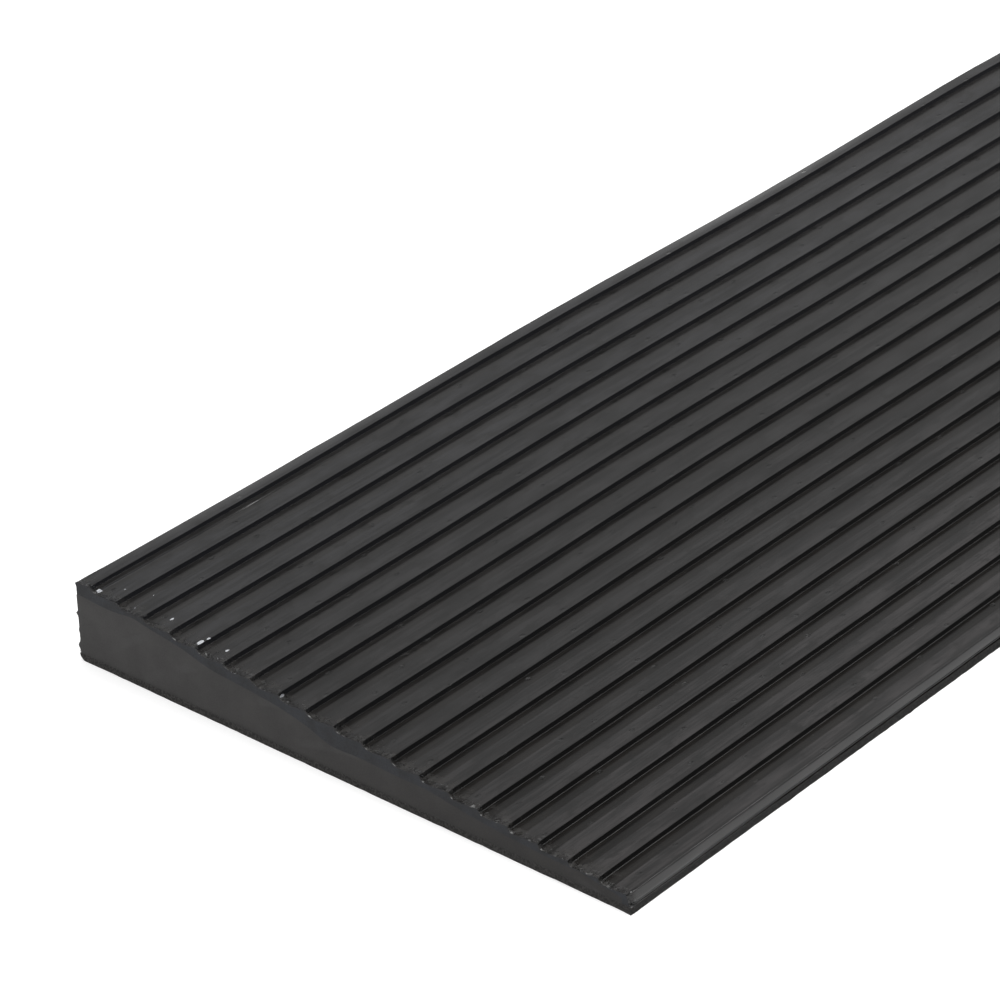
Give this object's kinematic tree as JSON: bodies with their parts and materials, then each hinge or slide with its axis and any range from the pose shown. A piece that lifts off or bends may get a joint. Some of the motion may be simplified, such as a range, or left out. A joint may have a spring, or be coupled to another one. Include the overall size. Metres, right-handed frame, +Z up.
{
  "type": "wheelchair threshold ramp",
  "caption": "Long solid rubber wedge that lies loose against a door sill so a wheelchair can roll over it, with shallow ribs across its slope for grip.",
  "frame": {"origin": "centre of the flat underside, on the floor", "axes": "+X along the ramp's length, beside the door sill; +Y up the slope, from the toe to the face that meets the sill; +Z up"},
  "size_m": [0.9, 0.2, 0.026],
  "materials": {
    "tread_rubber": "satin, moulded, faint streaks along the ribs",
    "core_rubber": "matt, saw-cut at the ends",
    "base_rubber": "matt, coarse and grainy"
  },
  "bodies": {
    "root": {"tread_cap": "tread_rubber", "wedge_core": "core_rubber", "base_sheet": "base_rubber"}
  },
  "joints": []
}
